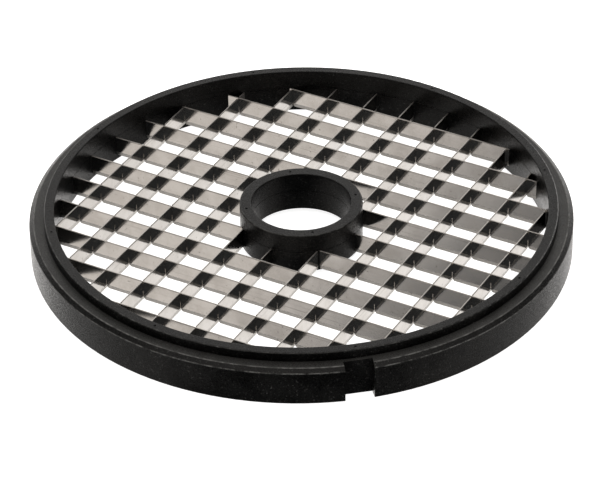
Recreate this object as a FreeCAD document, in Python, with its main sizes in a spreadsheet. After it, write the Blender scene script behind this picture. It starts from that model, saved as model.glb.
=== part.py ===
import FreeCAD, Part
import os

import Sketcher
from FreeCAD import Placement, Rotation, Vector

# Dicing grid of a food processor: two black plastic rims and two plastic hub rings trap a square lattice of
# half-lapped stainless blades. The grid lies with its sharpened edges down. X and Y run along the blades, Z is
# the axis of the bore, and the origin is in the plane the rim rests on. Millimetres.

SIZES = {
    "pitch": 15,  # from blade to blade, which sets the cube that comes out
    "blade_lines": 5,  # lines of blades on each side of the centre line
    "blade_thickness": 0.5,
    "blade_height": 7.6,
    "blade_floor": 2.1,  # from the rim's underside up to the sharpened edges
    "bevel_height": 1.5,  # ground band along each sharpened edge
    "edge_thickness": 0.16,  # of a blade at its sharpened edge
    "back_ease": 0.1,  # bevel that takes the burr off a blade's blunt edge
    "lap_width": 0.7,  # slot where two blades cross
    "mouth_width": 1.7,  # flared mouth of that slot
    "mouth_height": 1.1,
    "seat_clearance": 0.05,  # on each side of a blade in its seat in the plastic
    "rim_radius": 96.75,
    "rim_bore": 87.75,  # radius of the clear opening
    "rim_seat": 90,  # radius that the blade seats reach out to
    "rim_height": 17,
    "collar_radius": 91.3,  # outside of the raised collar
    "collar_clearance": 0.05,
    "ledge_height": 13.7,
    "ledge_bevel": 1.65,  # width of the bevel outside the ledge
    "ledge_drop": 1.2,  # height of that bevel
    "key_width": 10,
    "key_depth": 4,
    "key_turn": -49.6,  # degrees from X to the key notch
    "hub_floor": 1.7,  # height of the hub's underside
    "hub_radius": 21.9,
    "hub_bore": 17.7,
    "hub_seat": 19.7,  # radius that the blade seats reach in to
    "hub_height": 16.6,
    "edge_round": 0.4,  # rounding of the moulded edges
    "joint_bevel": 0.2,  # bevel that shows as a line at the moulded joint
    "dimple_radius": 0.45,
    "dimple_depth": 0.3,
    "rim_dimple_circle": 89.5,
    "hub_dimple_circle": 19.8,
}
RIM_DIMPLES = 8
HUB_DIMPLES = 4
JOINT_HEIGHT = "(sizes.blade_floor + sizes.blade_height)"
OVERCUT = 1  # how far a cut runs past the face that it opens


def make_sheet(doc):
    sheet = doc.addObject("Spreadsheet::Sheet", "sizes")
    for row, (alias, number) in enumerate(SIZES.items(), start=1):
        sheet.set(f"A{row}", alias)
        sheet.set(f"B{row}", str(number))
        sheet.setAlias(f"B{row}", alias)
    doc.recompute()
    return sheet


def origin_feature(body, role):
    return next(item for item in body.Origin.OriginFeatures if item.Role == role)


def new_sketch(body, name, role, lift="0", turn="0"):
    """A sketch on one of the body's own planes, lifted off it and turned about its normal."""
    sketch = body.newObject("Sketcher::SketchObject", name)
    sketch.AttachmentSupport = (origin_feature(body, role), [""])
    sketch.MapMode = "FlatFace"
    sketch.setExpression(".AttachmentOffset.Base.z", lift)
    sketch.setExpression(".AttachmentOffset.Rotation.Angle", turn)
    return sketch


def pin_vertex(sketch, line, kind, expression):
    """Ties one coordinate of a line's first point to the sheet, measured from the sketch's origin."""
    origin, start, own_axis = (-1, 1), (line, 1), {"DistanceX": -2, "DistanceY": -1}[kind]
    number = float(sketch.evalExpression(expression))
    if abs(number) < 1e-9:
        sketch.addConstraint(Sketcher.Constraint("PointOnObject", *start, own_axis))
        return
    ends = (*origin, *start) if number > 0 else (*start, *origin)
    sketch.addConstraint(Sketcher.Constraint(kind, *ends, abs(number)))
    constraint = f"{kind}_{line}"
    sketch.renameConstraint(sketch.ConstraintCount - 1, constraint)
    sketch.setExpression(f"Constraints.{constraint}", expression if number > 0 else f"-({expression})")


def draw_outline(sketch, corners):
    """A closed outline whose corners are pairs of expressions."""
    points = [Vector(*[float(sketch.evalExpression(text)) for text in corner]) for corner in corners]
    count = len(points)
    for index, point in enumerate(points):
        sketch.addGeometry(Part.LineSegment(point, points[(index + 1) % count]), False)
    for index in range(count):
        sketch.addConstraint(Sketcher.Constraint("Coincident", index, 2, (index + 1) % count, 1))
    for index, (across, along) in enumerate(corners):
        pin_vertex(sketch, index, "DistanceX", across)
        pin_vertex(sketch, index, "DistanceY", along)


def draw_circle(sketch, radius, across="0"):
    """A circle on the sketch's own horizontal axis."""
    centre = Vector(float(sketch.evalExpression(across)), 0, 0)
    size = float(sketch.evalExpression(radius))
    index = sketch.addGeometry(Part.Circle(centre, Vector(0, 0, 1), size), False)
    sketch.addConstraint(Sketcher.Constraint("PointOnObject", index, 3, -1))
    if centre.x:
        sketch.addConstraint(Sketcher.Constraint("DistanceX", -1, 1, index, 3, centre.x))
        sketch.renameConstraint(sketch.ConstraintCount - 1, f"across_{index}")
        sketch.setExpression(f"Constraints.across_{index}", across)
    else:
        sketch.addConstraint(Sketcher.Constraint("PointOnObject", index, 3, -2))
    sketch.addConstraint(Sketcher.Constraint("Radius", index, size))
    sketch.renameConstraint(sketch.ConstraintCount - 1, f"radius_{index}")
    sketch.setExpression(f"Constraints.radius_{index}", radius)


def revolve(body, corners):
    """Turns an outline of (radius, height) corners about Z."""
    sketch = new_sketch(body, "profile", "XZ_Plane")
    draw_outline(sketch, corners)
    turned = body.newObject("PartDesign::Revolution", "turned")
    turned.Profile = sketch
    turned.ReferenceAxis = (sketch, ["V_Axis"])
    return turned


def pad(body, sketch, length):
    block = body.newObject("PartDesign::Pad", "block")
    block.Profile = sketch
    block.setExpression("Length", length)
    return block


def pocket_down(body, sketch, depth):
    """Cuts from the sketch against its own normal."""
    cut = body.newObject("PartDesign::Pocket", "cut")
    cut.Profile = sketch
    cut.setExpression("Length", depth)
    return cut


def pattern(body, kind, feature, reference, step, count):
    """Repeats a feature at even steps; step is an expression of millimetres or degrees."""
    repeated = body.newObject(f"PartDesign::{kind}Pattern", "repeated")
    repeated.Originals = [feature]
    if kind == "Linear":
        repeated.Direction = reference
    else:
        repeated.Axis = reference
    repeated.Mode = "Spacing"
    repeated.setExpression("Offset", step)
    repeated.Occurrences = count
    body.Tip = repeated
    return repeated


def round_circles(body, feature, circles):
    """Rounds the full circular edges given as (radius, height) expressions."""
    body.Document.recompute()
    wanted = [[float(body.evalExpression(text)) for text in circle] for circle in circles]
    names = []
    for number, edge in enumerate(feature.Shape.Edges, start=1):
        curve = edge.Curve
        if not isinstance(curve, Part.Circle) or abs(curve.Axis.z) < 0.999:
            continue
        if any(abs(curve.Radius - radius) + abs(curve.Center.z - height) < 1e-4 for radius, height in wanted):
            names.append(f"Edge{number}")
    if len(names) < len(circles):
        raise RuntimeError(f"{body.Label}: {len(names)} of {len(circles)} edges found to round")
    rounded = body.newObject("PartDesign::Fillet", "rounded")
    rounded.Base = (feature, names)
    rounded.setExpression("Radius", "sizes.edge_round")
    return rounded


def add_dimples(body, height, circle, count):
    """Small round moulding marks in a top face; one of them is in line with the key notch."""
    sketch = new_sketch(body, "dimple_outline", "XY_Plane", height, "sizes.key_turn")
    draw_circle(sketch, "sizes.dimple_radius", circle)
    dimple = pocket_down(body, sketch, "sizes.dimple_depth")
    pattern(body, "Polar", dimple, (origin_feature(body, "Z_Axis"), [""]), f"360 / {count}", count)


def reach(radius, line, side):
    """How far along itself the blade on a line meets a circle; side picks its outer or inner edge."""
    offset = f"({line} * sizes.pitch {side} sizes.blade_thickness / 2)"
    return f"sqrt({radius}^2 - {offset}^2)"


def make_blade_space(doc):
    """The room that the blades take up in the plastic: crossing bars trimmed to a ring."""
    body = doc.addObject("PartDesign::Body", "blade_space")
    lines = 2 * SIZES["blade_lines"] + 1
    first = "-sizes.blade_lines * sizes.pitch"
    half_width = "(sizes.blade_thickness / 2 + sizes.seat_clearance)"
    ends = ("-sizes.rim_radius", "sizes.rim_radius")
    sides = (f"{first} - {half_width}", f"{first} + {half_width}")
    for axis, spans in (("V_Axis", (ends, sides)), ("H_Axis", (sides, ends))):
        sketch = new_sketch(body, "bar_outline", "XY_Plane", "sizes.blade_floor")
        (left, right), (near, far) = spans
        draw_outline(sketch, [(left, near), (right, near), (right, far), (left, far)])
        bar = pad(body, sketch, "sizes.blade_height")
        pattern(body, "Linear", bar, (sketch, [axis]), "sizes.pitch", lines)
    for inner, outer in (("0", "sizes.hub_seat"), ("sizes.rim_seat", "2 * sizes.rim_radius")):
        sketch = new_sketch(body, "trim_outline", "XY_Plane", f"{JOINT_HEIGHT} + {OVERCUT}")
        draw_circle(sketch, outer)
        if inner != "0":
            draw_circle(sketch, inner)
        pocket_down(body, sketch, f"sizes.blade_height + 2 * {OVERCUT}")
    return body


def seat_blades(doc, label, blank, blade_space):
    """The moulded piece with its blade seats cut, under the label of its own file."""
    seated = doc.addObject("Part::Cut", label)
    seated.Base = blank
    seated.Tool = blade_space
    seated.Label = label
    return seated


def make_lower_rim(doc, blade_space):
    body = doc.addObject("PartDesign::Body", "rim_blank")
    rebate = "sizes.collar_radius + sizes.collar_clearance"
    bevel_height = "sizes.ledge_height - sizes.ledge_drop"
    turned = revolve(body, [
        ("sizes.rim_bore", "0"),
        ("sizes.rim_radius", "0"),
        ("sizes.rim_radius", bevel_height),
        ("sizes.rim_radius - sizes.ledge_bevel", "sizes.ledge_height"),
        (rebate, "sizes.ledge_height"),
        (rebate, JOINT_HEIGHT),
        ("sizes.rim_bore", JOINT_HEIGHT),
    ])
    round_circles(body, turned, [
        ("sizes.rim_bore", "0"),
        ("sizes.rim_radius", "0"),
        ("sizes.rim_radius", bevel_height),
    ])
    key = new_sketch(body, "key_outline", "XY_Plane", f"sizes.ledge_height + {OVERCUT}", "sizes.key_turn")
    bottom = "sizes.rim_radius - sizes.key_depth"
    mouth = f"sizes.rim_radius + {OVERCUT}"
    half = "sizes.key_width / 2"
    draw_outline(key, [(bottom, f"-{half}"), (mouth, f"-{half}"), (mouth, half), (bottom, half)])
    body.Tip = pocket_down(body, key, f"sizes.ledge_height + 2 * {OVERCUT}")
    return seat_blades(doc, "lower_rim", body, blade_space)


def make_upper_rim(doc):
    body = doc.addObject("PartDesign::Body", "upper_rim")
    turned = revolve(body, [
        ("sizes.rim_bore + sizes.joint_bevel", JOINT_HEIGHT),
        ("sizes.collar_radius", JOINT_HEIGHT),
        ("sizes.collar_radius", "sizes.rim_height"),
        ("sizes.rim_bore", "sizes.rim_height"),
        ("sizes.rim_bore", f"{JOINT_HEIGHT} + sizes.joint_bevel"),
    ])
    round_circles(body, turned, [
        ("sizes.collar_radius", "sizes.rim_height"),
        ("sizes.rim_bore", "sizes.rim_height"),
    ])
    add_dimples(body, "sizes.rim_height", "sizes.rim_dimple_circle", RIM_DIMPLES)
    return body


def make_lower_hub(doc, blade_space):
    body = doc.addObject("PartDesign::Body", "hub_blank")
    turned = revolve(body, [
        ("sizes.hub_bore", "sizes.hub_floor"),
        ("sizes.hub_radius", "sizes.hub_floor"),
        ("sizes.hub_radius", JOINT_HEIGHT),
        ("sizes.hub_bore", JOINT_HEIGHT),
    ])
    round_circles(body, turned, [("sizes.hub_bore", "sizes.hub_floor")])
    return seat_blades(doc, "lower_hub", body, blade_space)


def make_upper_hub(doc):
    body = doc.addObject("PartDesign::Body", "upper_hub")
    above_bevel = f"{JOINT_HEIGHT} + sizes.joint_bevel"
    turned = revolve(body, [
        ("sizes.hub_bore + sizes.joint_bevel", JOINT_HEIGHT),
        ("sizes.hub_radius - sizes.joint_bevel", JOINT_HEIGHT),
        ("sizes.hub_radius", above_bevel),
        ("sizes.hub_radius", "sizes.hub_height"),
        ("sizes.hub_bore", "sizes.hub_height"),
        ("sizes.hub_bore", above_bevel),
    ])
    round_circles(body, turned, [
        ("sizes.hub_radius", "sizes.hub_height"),
        ("sizes.hub_bore", "sizes.hub_height"),
    ])
    add_dimples(body, "sizes.hub_height", "sizes.hub_dimple_circle", HUB_DIMPLES)
    return body


def draw_lap_slot(sketch, centre, opens_down):
    """Half-height slot with a flared mouth, on a side view of the blade."""
    middle = "sizes.blade_height / 2"

    def level(height):
        """Heights are given from the mouth inward."""
        return f"({height})" if opens_down else f"(sizes.blade_height - ({height}))"

    def side(sign, width):
        return f"{centre} {sign} {width} / 2"

    draw_outline(sketch, [
        (side("-", "sizes.mouth_width"), level(f"-{OVERCUT}")),
        (side("+", "sizes.mouth_width"), level(f"-{OVERCUT}")),
        (side("+", "sizes.mouth_width"), level("0")),
        (side("+", "sizes.lap_width"), level("sizes.mouth_height")),
        (side("+", "sizes.lap_width"), level(middle)),
        (side("-", "sizes.lap_width"), level(middle)),
        (side("-", "sizes.lap_width"), level("sizes.mouth_height")),
        (side("-", "sizes.mouth_width"), level("0")),
    ])


def make_blade(doc, label, length, first_crossing, crossings, opens_down):
    """A strip along its own X with its sharpened edge down and a slot at each crossing."""
    body = doc.addObject("PartDesign::Body", label)
    section = new_sketch(body, "section", "YZ_Plane")
    face, edge = "sizes.blade_thickness / 2", "sizes.edge_thickness / 2"
    eased = "sizes.blade_height - sizes.back_ease"
    draw_outline(section, [
        (f"-({face} - sizes.back_ease)", "sizes.blade_height"),
        (f"-{face}", eased),
        (f"-{face}", "sizes.bevel_height"),
        (f"-{edge}", "0"),
        (edge, "0"),
        (face, "sizes.bevel_height"),
        (face, eased),
        (f"{face} - sizes.back_ease", "sizes.blade_height"),
    ])
    pad(body, section, length)
    slot = new_sketch(body, "lap_outline", "XZ_Plane")
    draw_lap_slot(slot, first_crossing, opens_down)
    lap = body.newObject("PartDesign::Pocket", "lap")
    lap.Profile = slot
    lap.Type = "ThroughAll"
    lap.SideType = "Symmetric"
    pattern(body, "Linear", lap, (slot, ["H_Axis"]), "sizes.pitch", crossings)
    return body


def place_blade(body, along, across, angle):
    """Turns a blade about Z and puts its first end at that distance along and across the way it runs."""
    body.Placement = Placement(Vector(), Rotation(Vector(0, 0, 1), angle))
    cosine, sine = {0: (1, 0), 90: (0, 1), 180: (-1, 0), 270: (0, -1)}[angle]
    body.setExpression(".Placement.Base.x", f"{cosine} * ({along}) - {sine} * ({across})")
    body.setExpression(".Placement.Base.y", f"{sine} * ({along}) + {cosine} * ({across})")
    body.setExpression(".Placement.Base.z", "sizes.blade_floor")


def count_crossings(line):
    """The number of lines on one side of the centre that the blade on this line meets."""
    pitch, seat = SIZES["pitch"], SIZES["rim_seat"]
    half_length = (seat**2 - (abs(line) * pitch) ** 2) ** 0.5
    return min(SIZES["blade_lines"], int(half_length // pitch))


def make_long_blades(doc, family, sides, angle, opens_down):
    """Blades that pass the hub and run from wall to wall."""
    made = []
    for line in range(2, SIZES["blade_lines"] + 1):
        half = reach("sizes.rim_seat", line, "+")
        met = count_crossings(line)
        for sign, side in zip((1, -1), sides):
            body = make_blade(
                doc, f"{family}_{side}_{line}", f"2 * {half}",
                f"({half} - {met} * sizes.pitch)", 2 * met + 1, opens_down,
            )
            place_blade(body, f"-{half}", f"{sign} * {line} * sizes.pitch", angle)
            made.append(body)
    return made


def make_short_blades(doc, family, sides, ends, angle, opens_down):
    """Blades that end in the hub, one towards each end of the three middle lines."""
    made = []
    lines = ((0, "middle"), (1, f"{sides[0]}_1"), (-1, f"{sides[1]}_1"))
    for turn, end in zip((0, 180), ends):
        for line, place in lines:
            inner = reach("sizes.hub_seat", abs(line), "-" if line else "+")
            outer = reach("sizes.rim_seat", abs(line), "+")
            first = 1 if line else 2
            met = count_crossings(line) - first + 1
            body = make_blade(
                doc, f"{family}_{place}_{end}", f"{outer} - {inner}",
                f"({first} * sizes.pitch - {inner})", met, opens_down,
            )
            across = f"{line if turn == 0 else -line} * sizes.pitch"
            place_blade(body, inner, across, (angle + turn) % 360)
            made.append(body)
    return made


def make_blades(doc):
    """Under blades run along Y and are slotted from the top; over blades run along X and drop onto them."""
    under = make_long_blades(doc, "under_blade", ("west", "east"), 90, False)
    under += make_short_blades(doc, "under_blade", ("west", "east"), ("north", "south"), 90, False)
    over = make_long_blades(doc, "over_blade", ("north", "south"), 0, True)
    over += make_short_blades(doc, "over_blade", ("north", "south"), ("east", "west"), 0, True)
    return under + over


def check(doc, parts):
    doc.recompute()
    for item in doc.Objects:
        if "Invalid" in item.State or "Error" in item.State:
            raise RuntimeError(f"{item.Label} failed: {item.State}")
    for part in parts:
        if part.Shape.isNull() or not part.Shape.isValid() or len(part.Shape.Solids) != 1:
            raise RuntimeError(f"{part.Label} is not one valid solid")


def main():
    doc = FreeCAD.newDocument("dicing_grid")
    make_sheet(doc)
    blade_space = make_blade_space(doc)
    parts = [
        make_lower_rim(doc, blade_space),
        make_upper_rim(doc),
        make_lower_hub(doc, blade_space),
        make_upper_hub(doc),
        *make_blades(doc),
    ]
    check(doc, parts)
    os.makedirs("parts", exist_ok=True)
    for part in parts:
        part.Shape.exportStep(f"parts/{part.Label}.step")
        print(f"{part.Label}: {part.Shape.Volume:.1f} cubic mm")


main()
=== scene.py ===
"""Looks of the dicing grid: satin black mouldings, bright ground blades and a white product studio."""

import math

import bmesh
import bpy
from bpy.props import FloatProperty, FloatVectorProperty, PointerProperty
from mathutils import Matrix, Vector


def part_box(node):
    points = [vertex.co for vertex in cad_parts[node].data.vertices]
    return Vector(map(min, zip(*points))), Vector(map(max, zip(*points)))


bl_info = {
    "name": "Dicing grid looks",
    "version": (1, 0, 0),
    "blender": (4, 5, 0),
    "location": "3D View > Sidebar > Dicing Grid",
    "description": "Materials, studio and camera for a food processor's dicing grid",
    "category": "3D View",
}

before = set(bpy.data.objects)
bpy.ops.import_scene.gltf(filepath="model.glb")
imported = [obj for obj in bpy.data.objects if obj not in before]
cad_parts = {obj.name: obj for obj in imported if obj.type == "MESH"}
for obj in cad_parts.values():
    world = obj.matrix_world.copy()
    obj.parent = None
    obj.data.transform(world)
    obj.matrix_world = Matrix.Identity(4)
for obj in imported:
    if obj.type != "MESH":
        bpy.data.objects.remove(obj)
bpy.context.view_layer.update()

# Sizes read from the frame, in metres.
RIM_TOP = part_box("upper_rim")[1].z
RIM_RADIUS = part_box("lower_rim")[1].x
LEDGE_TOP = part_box("lower_rim")[1].z
COLLAR_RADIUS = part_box("upper_rim")[1].x
HUB_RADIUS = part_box("upper_hub")[1].x
HUB_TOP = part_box("upper_hub")[1].z
BLADE_FLOOR, BLADE_TOP = (corner.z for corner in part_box("over_blade_north_2"))

# The ledge's bevel, in metres, which no box in the frame shows.
LEDGE_BEVEL_WIDTH = 0.00165
LEDGE_BEVEL_DROP = 0.0012

# Below, a noise is its scale, detail and, if it isn't the usual one, roughness. A range is where a change
# starts and ends, then its first and last values if they aren't 0 and 1. Distances are in metres.
NOISE_MIDDLE = 0.5

# Moulded plastic.
GRAIN = (1900.0, 3.0, 0.75)
CLOUDS = (70.0, 4.0, 0.6)
DUST = (1700.0, 2.0, 0.6)
# The patch noise here and its range below belong to the pale edge lines, which are partly scuffing and partly
# painted highlight.
SCUFFING_AND_HIGHLIGHT_NOISE = (300.0, 4.0, 0.8)
HANDLED_RANGE = (0.42, 0.66)
DUST_RANGE = (0.6, 0.72)
SCUFFING_AND_HIGHLIGHT_RANGE = (0.36, 0.66, 0.1, 1.0)
DUST_ANYWHERE = 0.35
DUST_WHERE_HANDLED = 0.65
DUST_COVER = 0.25
LEDGE_FADE = 0.0004
LEDGE_DEPTH = 0.0001
# How much paler the ledge top is made: a fixed part and a part that follows the clouds.
LEDGE_PALING = 0.08
LEDGE_CLOUDS = 0.1
CLOUD_ROUGHNESS = 0.14
GRAIN_ROUGHNESS = 0.9
WEAR_ROUGHNESS = 0.15
DUST_ROUGHNESS = 0.1
GRAIN_DEPTH = 0.00012
GRAIN_STRENGTH = 0.8

# Rolled and ground steel. A stretch is the noise's scale along the blade and across it.
LENGTHWAYS_STRETCH = (12.0, 1500.0)
GRINDING_STRETCH = (1500.0, 30.0)
LINES = (3.0, 4.0, 0.7)
SCRATCHES = (1.1, 2.0, 0.5)
GRINDING = (3.0, 3.0, 0.7)
STAINS = (90.0, 6.0, 0.7)
SPECKS = (950.0, 1.0)
WAVES = (30.0, 1.0)
SPECK_RANGE = (0.71, 0.77)
STAIN_RANGE = (0.38, 0.68)
SCRATCH_RANGE = (0.62, 0.72)
SEAM_RANGE = (0.00006, 0.0002, 1.0, 0.0)
BAND_FADE = 0.00008
# The blades' top-edge strip, in metres below the top: where it starts and where it is full; it is rougher and
# carries painted shade.
BACK_STARTS = 0.00035
BACK_FULL = 0.0001
SCRATCH_COVER = 0.28
BAND_COVER = 0.6
BAND_MARKS_COVER = 0.4
TOP_EDGE_SHADE = 0.45
SEAM_COVER = 0.25
SPECK_COVER = 0.7
LINE_ROUGHNESS = 0.03
STAIN_ROUGHNESS = 0.16
BACK_ROUGHNESS = 0.25
GRINDING_ROUGHNESS = 0.1
QUARTER_TURN = 0.25
LINE_HEIGHT = 0.02
GRINDING_HEIGHT = 0.05
STEEL_DEPTH = 0.0004
STEEL_STRENGTH = 0.3

# The studio's light. Each range is of one part of a unit direction: up, sideways, or to the camera or opening.
SWEEP_TOP = (0.1, 0.35, 1.0, 0.0)
STRIP_SIDES = (0.45, 0.68, 1.0, 0.0)
STRIP_END = (0.3, 0.6, 1.0, 0.0)
FLAG_EDGE = (0.72, 0.85, 1.0, 0.3)
REAR_WALL = (-0.75, -0.5, 1.0, 0.0)
OPENING_EDGE = (0.718, 0.742)
FRONT_SHADE = (0.5, 0.85, 1.0, 0.12)
WARMING = (-0.2, 0.5)
WALL_LIGHT = 1.03
WALL_FALL = 0.38
REAR_LIGHT = 0.65
CEILING_LIGHT = 0.12
STRIP_LIGHT = 0.15
STRIP_RISE = 1.5
OPENING_LIGHT = 0.042
REAR_TINT = (1.01, 0.985, 0.96, 1)
FRONT_TINT = (1.03, 0.97, 0.915, 1)
OPENING_TINT = (0.94, 1, 1.06, 1)
WHITE = (1, 1, 1, 1)

# The floor and the camera.
FLOOR_SQUARES = 8
FLOOR_MOTTLE = 3.0
FLOOR_GREY = (0.86, 0.86, 0.86, 1)
FLOOR_PALE = (0.9, 0.9, 0.9, 1)
FLOOR_ROUGHNESS = 0.9
FLOOR_GLOW = 0.9
SENSOR_WIDTH_MM = 36
NEAREST_SEEN = 0.01

# A Mix node's sockets for colours.
COLOUR_FIRST = 6
COLOUR_SECOND = 7
COLOUR_RESULT = 2


class Value:
    """A shader socket written in Python expressions: each operator adds its Math node."""

    def __init__(self, graph, socket):
        self.graph = graph
        self.socket = socket

    def maths(self, operation, *terms):
        return self.graph.node("ShaderNodeMath", {"operation": operation}, dict(enumerate(terms)))

    def __add__(self, other):
        return self.maths("ADD", self, other)

    __radd__ = __add__

    def __sub__(self, other):
        return self.maths("SUBTRACT", self, other)

    def __rsub__(self, other):
        return self.maths("SUBTRACT", other, self)

    def __mul__(self, other):
        return self.maths("MULTIPLY", self, other)

    __rmul__ = __mul__

    def __pow__(self, other):
        return self.maths("POWER", self, other)

    def __abs__(self):
        return self.maths("ABSOLUTE", self)


class Graph:
    """The nodes of one material or world."""

    def __init__(self, tree):
        self.tree = tree
        tree.nodes.clear()

    def node(self, kind, settings=None, inputs=None, output=0):
        """Adds any node: its settings first, then the values or links of its sockets."""
        made = self.tree.nodes.new(kind)
        for name, setting in (settings or {}).items():
            setattr(made, name, setting)
        for name, given in (inputs or {}).items():
            if isinstance(given, Value):
                self.tree.links.new(given.socket, made.inputs[name])
            else:
                made.inputs[name].default_value = given
        return Value(self, made.outputs[output] if len(made.outputs) else None)

    def place(self):
        """The point on the object, in metres from the part's origin."""
        return self.node("ShaderNodeTexCoord", output="Object")

    def parts_of(self, vector):
        split = self.node("ShaderNodeSeparateXYZ", inputs={"Vector": vector})
        return [Value(self, socket) for socket in split.socket.node.outputs]

    def stretched(self, vector, scale):
        operation = {"operation": "MULTIPLY"}
        return self.node("ShaderNodeVectorMath", operation, {0: vector, 1: scale})

    def noise(self, vector, scale, detail=2.0, roughness=0.5):
        return self.node(
            "ShaderNodeTexNoise", {"noise_dimensions": "3D"},
            {"Vector": vector, "Scale": scale, "Detail": detail, "Roughness": roughness},
        )

    def ramp(self, value, low, high, bottom=0.0, top=1.0):
        """A smooth change from bottom to top while value goes from low to high."""
        return self.node(
            "ShaderNodeMapRange", {"interpolation_type": "SMOOTHSTEP"},
            {"Value": value, "From Min": low, "From Max": high, "To Min": bottom, "To Max": top},
        )

    def mix(self, factor, first, second):
        """A colour between two others."""
        return self.node(
            "ShaderNodeMix", {"data_type": "RGBA"},
            {"Factor": factor, COLOUR_FIRST: first, COLOUR_SECOND: second}, output=COLOUR_RESULT,
        )

    def bump(self, height, distance, strength):
        inputs = {"Height": height, "Distance": distance, "Strength": strength}
        return self.node("ShaderNodeBump", inputs=inputs)

    def surface(self, inputs):
        shader = self.node("ShaderNodeBsdfPrincipled", inputs=inputs)
        self.node("ShaderNodeOutputMaterial", inputs={"Surface": shader})


def new_material(name):
    material = bpy.data.materials.new(name)
    material.use_nodes = True
    return material, Graph(material.node_tree)


def paint(node, material):
    """Gives a CAD node its finish."""
    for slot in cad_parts[node].material_slots:
        slot.material = material


def edge_line(graph, radius, height, edges, width):
    """A soft line on each circular edge, given as (radius, height)."""
    line = 0.0
    for edge_radius, edge_height in edges:
        distance = abs(radius - edge_radius) + abs(height - edge_height)
        line = line + graph.ramp(distance, 0.0, width, 1.0, 0.0)
    return line


def ledge_mask(graph, radius, height):
    """Full on top of the ledge, outside the collar."""
    outside = graph.ramp(radius, COLLAR_RADIUS, COLLAR_RADIUS + LEDGE_FADE)
    on_top = graph.ramp(height, LEDGE_TOP - LEDGE_DEPTH, LEDGE_TOP)
    return outside * on_top


def moulded_plastic(name, look, edges):
    """Satin black moulding with fine grain, a little dust, a paler ledge top and pale lines on the edges,
    given as (radius, height); the edge lines are partly scuffing and partly painted highlight.
    """
    material, graph = new_material(name)
    point = graph.place()
    x, y, z = graph.parts_of(point)
    radius = (x * x + y * y) ** 0.5
    grain = graph.noise(point, *GRAIN)
    clouds = graph.noise(point, *CLOUDS)
    handled = graph.ramp(clouds, *HANDLED_RANGE)
    base = graph.mix(handled, (*look.colour, 1), (*look.dusty, 1))

    specks = graph.ramp(graph.noise(point, *DUST), *DUST_RANGE)
    dust = specks * (DUST_ANYWHERE + DUST_WHERE_HANDLED * handled)
    # The ledge top is made paler, mixed a little towards the pale colour, with some cloud variation.
    ledge = ledge_mask(graph, radius, z) * (LEDGE_PALING + LEDGE_CLOUDS * clouds)
    dusted_and_ledge_paled = graph.mix(dust * DUST_COVER + ledge, base, (*look.pale, 1))

    # Painted highlight, partly scuffing: pale broken lines on the circular edges, where rounded edges catch
    # the light.
    scuffing_and_highlight = graph.ramp(graph.noise(point, *SCUFFING_AND_HIGHLIGHT_NOISE), *SCUFFING_AND_HIGHLIGHT_RANGE)
    wear_and_highlight = edge_line(graph, radius, z, edges, look.wear_and_highlight_width) * scuffing_and_highlight * look.wear_and_highlight
    worn_and_highlighted = graph.mix(wear_and_highlight, dusted_and_ledge_paled, (*look.pale, 1))

    cloud_change = CLOUD_ROUGHNESS * (clouds - NOISE_MIDDLE)
    grain_change = GRAIN_ROUGHNESS * (grain - NOISE_MIDDLE)
    wear_change = WEAR_ROUGHNESS * wear_and_highlight
    dust_change = DUST_ROUGHNESS * dust
    graph.surface({
        "Base Color": worn_and_highlighted,
        "Roughness": look.roughness + cloud_change + grain_change + wear_change + dust_change,
        "IOR": look.gloss_index,
        "Anisotropic": look.turned,
        "Normal": graph.bump(grain, GRAIN_DEPTH, GRAIN_STRENGTH),
    })
    return material


def along_blade(along, stretch):
    """The scales of a noise on a blade that runs along x or y."""
    lengthways, crossways = stretch
    if along == "x":
        return (lengthways, crossways, crossways)
    return (crossways, lengthways, crossways)


def ground_steel(name, look, along):
    """Rolled bright strip: lines run along the blade, with a ground band by the sharpened edge and painted
    shade along the top edge.
    """
    material, graph = new_material(name)
    point = graph.place()
    z = graph.parts_of(point)[2]
    lengthways = graph.stretched(point, along_blade(along, LENGTHWAYS_STRETCH))
    crossways = graph.stretched(point, along_blade(along, GRINDING_STRETCH))
    lines = graph.noise(lengthways, *LINES)
    scratches = graph.ramp(graph.noise(lengthways, *SCRATCHES), *SCRATCH_RANGE)
    marks = graph.noise(crossways, *GRINDING)
    stain = graph.noise(point, *STAINS)
    specks = graph.ramp(graph.noise(point, *SPECKS), *SPECK_RANGE)
    waves = graph.noise(point, *WAVES)

    depth = z - BLADE_FLOOR
    band = graph.ramp(depth, look.band_height - BAND_FADE, look.band_height, 1.0, 0.0)
    seam = graph.ramp(abs(depth - look.band_height), *SEAM_RANGE)
    back = graph.ramp(z, BLADE_TOP - BACK_STARTS, BLADE_TOP - BACK_FULL)

    dark_marks_and_shade = (*look.dark_marks_and_shade, 1)
    rolled = graph.mix(graph.ramp(stain, *STAIN_RANGE), (*look.colour, 1), (*look.stained, 1))
    scratched = graph.mix(scratches * SCRATCH_COVER, rolled, dark_marks_and_shade)
    ground = graph.mix(band * (BAND_COVER + BAND_MARKS_COVER * marks), scratched, (*look.ground, 1))
    # Painted shade: the top edge of each blade and a thin strip below it are darkened towards the dark colour.
    toned = graph.mix(TOP_EDGE_SHADE * back, ground, dark_marks_and_shade)
    finished = graph.mix(SEAM_COVER * seam * stain + SPECK_COVER * specks, toned, dark_marks_and_shade)

    line_change = LINE_ROUGHNESS * (lines - NOISE_MIDDLE)
    stain_change = STAIN_ROUGHNESS * (stain - NOISE_MIDDLE)
    face_change = line_change + stain_change + BACK_ROUGHNESS * back
    band_change = band * (look.band_roughness + GRINDING_ROUGHNESS * (marks - NOISE_MIDDLE))
    relief = lines * LINE_HEIGHT + waves + band * marks * GRINDING_HEIGHT
    graph.surface({
        "Base Color": finished,
        "Metallic": 1.0,
        "Roughness": look.roughness + face_change + band_change,
        "Anisotropic": look.brushed,
        "Anisotropic Rotation": QUARTER_TURN,
        "Normal": graph.bump(relief, STEEL_DEPTH, STEEL_STRENGTH),
    })
    return material


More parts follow.
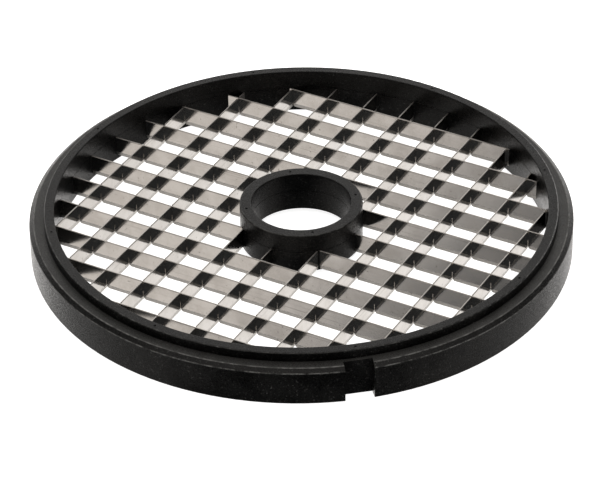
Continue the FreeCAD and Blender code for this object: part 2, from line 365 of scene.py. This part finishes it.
class PlasticLook(bpy.types.PropertyGroup):
    """Finish of the moulded rims and hubs."""

    colour: FloatVectorProperty(
        name="Colour", description="Colour of the clean moulding", subtype="COLOR", size=3, min=0, max=1,
        default=(0.002, 0.002, 0.0019),
    )
    dusty: FloatVectorProperty(
        name="Dulled colour", description="Colour where handling has dulled it", subtype="COLOR", size=3,
        min=0, max=1, default=(0.0055, 0.0055, 0.0052),
    )
    # A pale colour for dust specks, the paler ledge top and the edge lines, which are partly painted
    # highlight.
    pale: FloatVectorProperty(
        name="Rubbed colour", description="Colour of the rubbed edges", subtype="COLOR", size=3, min=0, max=1,
        default=(0.22, 0.22, 0.212),
    )
    roughness: FloatProperty(
        name="Roughness", description="Roughness of the satin surface", min=0, max=1, default=0.32,
        subtype="FACTOR",
    )
    # Strength of the pale edge lines, partly scuffing and partly painted highlight.
    wear_and_highlight: FloatProperty(
        name="Wear", description="How strongly edges are rubbed", min=0, max=1, default=0.75,
        subtype="FACTOR",
    )
    wear_and_highlight_width: FloatProperty(
        name="Wear width", description="How far the rubbing reaches from an edge", default=0.0005, min=0,
        unit="LENGTH",
    )
    gloss_index: FloatProperty(
        name="Gloss index", description="Refractive index that sets the strength of the gloss", min=1, max=2,
        default=1.27,
    )
    turned: FloatProperty(
        name="Turned finish", description="How much the gloss follows the circles of the turned mould", min=0,
        max=1, default=0.5, subtype="FACTOR",
    )


class SteelLook(bpy.types.PropertyGroup):
    """Finish of the blades."""

    colour: FloatVectorProperty(
        name="Colour", description="Colour of the bright strip", subtype="COLOR", size=3, min=0, max=1,
        default=(0.64, 0.618, 0.592),
    )
    stained: FloatVectorProperty(
        name="Stained colour", description="Colour where washing has dulled it", subtype="COLOR", size=3,
        min=0, max=1, default=(0.57, 0.545, 0.515),
    )
    ground: FloatVectorProperty(
        name="Ground colour", description="Colour of the freshly ground band", subtype="COLOR", size=3, min=0,
        max=1, default=(0.96, 0.935, 0.9),
    )
    # This colour also serves the painted shade along the blades' top edges.
    dark_marks_and_shade: FloatVectorProperty(
        name="Deep marks", description="Colour of scratches, specks and the ground line", subtype="COLOR",
        size=3, min=0, max=1, default=(0.22, 0.2, 0.18),
    )
    roughness: FloatProperty(
        name="Roughness", description="Roughness of the bright faces", min=0, max=1, default=0.145,
        subtype="FACTOR",
    )
    brushed: FloatProperty(
        name="Brushed finish", description="How much the gloss follows the lengthways lines", min=0, max=1,
        default=0.55, subtype="FACTOR",
    )
    band_height: FloatProperty(
        name="Ground band", description="Height of the band ground to an edge", default=0.0015, min=0,
        unit="LENGTH",
    )
    band_roughness: FloatProperty(
        name="Band roughness", description="Extra roughness of the ground band", min=0, max=1, default=0.42,
        subtype="FACTOR",
    )


class StudioSettings(bpy.types.PropertyGroup):
    """Camera and backdrop."""

    azimuth: FloatProperty(
        name="Azimuth", description="Direction of the camera from the part, turned from +X", subtype="ANGLE",
        default=math.radians(-60.73),
    )
    elevation: FloatProperty(
        name="Elevation", description="Height of the camera above the floor", subtype="ANGLE",
        default=math.radians(34.42),
    )
    roll: FloatProperty(
        name="Roll", description="Tilt of the camera about its line of sight", subtype="ANGLE",
        default=math.radians(-0.92),
    )
    distance: FloatProperty(
        name="Distance", description="From the camera to the point it looks at", default=1.155, unit="LENGTH",
    )
    aim_height: FloatProperty(
        name="Aim height", description="Height of the point it looks at", default=0.000055, unit="LENGTH",
    )
    aim_side: FloatProperty(
        name="Aim side", description="How far that point stands to the right of the axis", default=-0.00062,
        unit="LENGTH",
    )
    lens: FloatProperty(name="Lens", description="Focal length in millimetres", default=193.4)
    opening_drop: FloatProperty(
        name="Opening drop", description="How far the middle of the dark opening is below the horizon",
        subtype="ANGLE", default=math.radians(54),
    )
    floor_size: FloatProperty(
        name="Floor", description="Width of the white floor", default=6.0, unit="LENGTH",
    )


class DICER_OT_rims(bpy.types.Operator):
    """Finish the two rims in satin black plastic with pale edge lines, partly scuffing and partly painted
    highlight
    """

    bl_idname = "dicer.rims"
    bl_label = "Rims"

    def execute(self, context):
        look = context.scene.dicer_plastic
        edges = [
            (COLLAR_RADIUS, RIM_TOP),
            (RIM_RADIUS, LEDGE_TOP - LEDGE_BEVEL_DROP),
            (RIM_RADIUS - LEDGE_BEVEL_WIDTH, LEDGE_TOP),
        ]
        material = moulded_plastic("rim_plastic", look, edges)
        for node in ("lower_rim", "upper_rim"):
            paint(node, material)
        return {"FINISHED"}


class DICER_OT_hubs(bpy.types.Operator):
    """Finish the two hub rings in satin black plastic"""

    bl_idname = "dicer.hubs"
    bl_label = "Hub rings"

    def execute(self, context):
        look = context.scene.dicer_plastic
        material = moulded_plastic("hub_plastic", look, [(HUB_RADIUS, HUB_TOP)])
        for node in ("lower_hub", "upper_hub"):
            paint(node, material)
        return {"FINISHED"}


class DICER_OT_under_blades(bpy.types.Operator):
    """Finish the lower family of blades in bright steel"""

    bl_idname = "dicer.under_blades"
    bl_label = "Under blades"

    def execute(self, context):
        material = ground_steel("under_blade_steel", context.scene.dicer_steel, "y")
        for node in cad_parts:
            if node.startswith("under_blade"):
                paint(node, material)
        return {"FINISHED"}


class DICER_OT_over_blades(bpy.types.Operator):
    """Finish the upper family of blades in bright steel"""

    bl_idname = "dicer.over_blades"
    bl_label = "Over blades"

    def execute(self, context):
        material = ground_steel("over_blade_steel", context.scene.dicer_steel, "x")
        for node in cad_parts:
            if node.startswith("over_blade"):
                paint(node, material)
        return {"FINISHED"}


def view_axes(studio):
    """Right, up and backward directions of the camera."""
    azimuth, elevation, roll = studio.azimuth, studio.elevation, studio.roll
    right = Vector((-math.sin(azimuth), math.cos(azimuth), 0))
    back = Vector((
        math.cos(azimuth) * math.cos(elevation),
        math.sin(azimuth) * math.cos(elevation),
        math.sin(elevation),
    ))
    up = back.cross(right)
    turned_right = right * math.cos(roll) + up * math.sin(roll)
    turned_up = up * math.cos(roll) - right * math.sin(roll)
    return right, turned_right, turned_up, back


def add_camera(studio):
    right, turned_right, turned_up, back = view_axes(studio)
    aim = right * studio.aim_side + Vector((0, 0, studio.aim_height))
    camera = bpy.data.objects.new("camera", bpy.data.cameras.new("camera"))
    bpy.context.scene.collection.objects.link(camera)
    turn = Matrix((turned_right, turned_up, back)).transposed()
    camera.matrix_world = Matrix.Translation(aim + back * studio.distance) @ turn.to_4x4()
    camera.data.lens = studio.lens
    camera.data.sensor_width = SENSOR_WIDTH_MM
    camera.data.clip_start = NEAREST_SEEN
    camera.data.dof.use_dof = False
    bpy.context.scene.camera = camera


def add_floor(studio):
    mesh = bpy.data.meshes.new("floor")
    shape = bmesh.new()
    half_width = studio.floor_size / 2
    bmesh.ops.create_grid(shape, x_segments=FLOOR_SQUARES, y_segments=FLOOR_SQUARES, size=half_width)
    shape.to_mesh(mesh)
    shape.free()
    floor = bpy.data.objects.new("floor", mesh)
    bpy.context.scene.collection.objects.link(floor)
    material, graph = new_material("floor_white")
    mottle = graph.noise(graph.place(), FLOOR_MOTTLE)
    graph.surface({
        "Base Color": graph.mix(mottle, FLOOR_GREY, FLOOR_PALE),
        "Roughness": FLOOR_ROUGHNESS,
        "Emission Color": WHITE,
        "Emission Strength": FLOOR_GLOW,
    })
    mesh.materials.append(material)
    floor.visible_glossy = False


def light_world(studio):
    """A white sweep all round, a soft strip of light overhead and a dark opening on the camera's side."""
    world = bpy.data.worlds.new("studio")
    bpy.context.scene.world = world
    world.use_nodes = True
    graph = Graph(world.node_tree)
    direction = graph.node("ShaderNodeTexCoord", output="Generated")
    toward = Vector((math.cos(studio.azimuth), math.sin(studio.azimuth), 0))
    sideways = Vector((-toward.y, toward.x, 0))
    under_camera = toward * math.cos(studio.opening_drop) - Vector((0, 0, math.sin(studio.opening_drop)))

    def facing(vector):
        operation = {"operation": "DOT_PRODUCT"}
        return graph.node("ShaderNodeVectorMath", operation, {0: direction, 1: vector}, output=1)

    to_camera = facing(toward)
    to_side = abs(facing(sideways))
    height = graph.parts_of(direction)[2]
    sweep = graph.ramp(height, *SWEEP_TOP)
    strip = graph.ramp(to_side, *STRIP_SIDES) * graph.ramp(to_camera, *STRIP_END)
    flags = graph.ramp(to_side, *FLAG_EDGE)
    behind = graph.ramp(to_camera, *REAR_WALL)
    walls = flags * (WALL_LIGHT - WALL_FALL * to_camera + REAR_LIGHT * behind)
    ceiling = CEILING_LIGHT + strip * (STRIP_LIGHT + STRIP_RISE * height)
    tent = sweep * walls + (1.0 - sweep) * ceiling
    opening = graph.ramp(facing(under_camera), *OPENING_EDGE)
    front = graph.ramp(to_camera, *FRONT_SHADE)
    glow = tent * front * (1.0 - opening) + OPENING_LIGHT * opening
    warmed = graph.mix(graph.ramp(to_camera, *WARMING), REAR_TINT, FRONT_TINT)
    tone = graph.mix(opening, warmed, OPENING_TINT)
    seen = graph.node("ShaderNodeLightPath")
    lit = graph.node("ShaderNodeBackground", inputs={"Color": tone, "Strength": glow})
    backdrop = graph.node("ShaderNodeBackground", inputs={"Color": WHITE, "Strength": 1.0})
    both = graph.node("ShaderNodeMixShader", inputs={"Fac": seen, 1: lit, 2: backdrop})
    graph.node("ShaderNodeOutputWorld", inputs={"Surface": both})


class DICER_OT_stage(bpy.types.Operator):
    """Set up the white floor, the studio light and the camera"""

    bl_idname = "dicer.stage"
    bl_label = "Studio"

    def execute(self, context):
        studio = context.scene.dicer_studio
        add_floor(studio)
        light_world(studio)
        add_camera(studio)
        context.scene.view_settings.view_transform = "Standard"
        return {"FINISHED"}


STEPS = ("rims", "hubs", "under_blades", "over_blades", "stage")


class DICER_PT_panel(bpy.types.Panel):
    """Lists the steps that dress the dicing grid"""

    bl_idname = "DICER_PT_panel"
    bl_label = "Dicing Grid"
    bl_space_type = "VIEW_3D"
    bl_region_type = "UI"
    bl_category = "Dicing Grid"

    def draw(self, context):
        for step in STEPS:
            self.layout.operator(f"dicer.{step}")


CLASSES = (
    PlasticLook, SteelLook, StudioSettings,
    DICER_OT_rims, DICER_OT_hubs, DICER_OT_under_blades, DICER_OT_over_blades, DICER_OT_stage,
    DICER_PT_panel,
)


def register():
    for cls in CLASSES:
        bpy.utils.register_class(cls)
    bpy.types.Scene.dicer_plastic = PointerProperty(type=PlasticLook)
    bpy.types.Scene.dicer_steel = PointerProperty(type=SteelLook)
    bpy.types.Scene.dicer_studio = PointerProperty(type=StudioSettings)


def unregister():
    del bpy.types.Scene.dicer_studio
    del bpy.types.Scene.dicer_steel
    del bpy.types.Scene.dicer_plastic
    for cls in reversed(CLASSES):
        bpy.utils.unregister_class(cls)


def main():
    register()
    for step in STEPS:
        getattr(bpy.ops.dicer, step)()


if __name__ == "__main__":
    main()
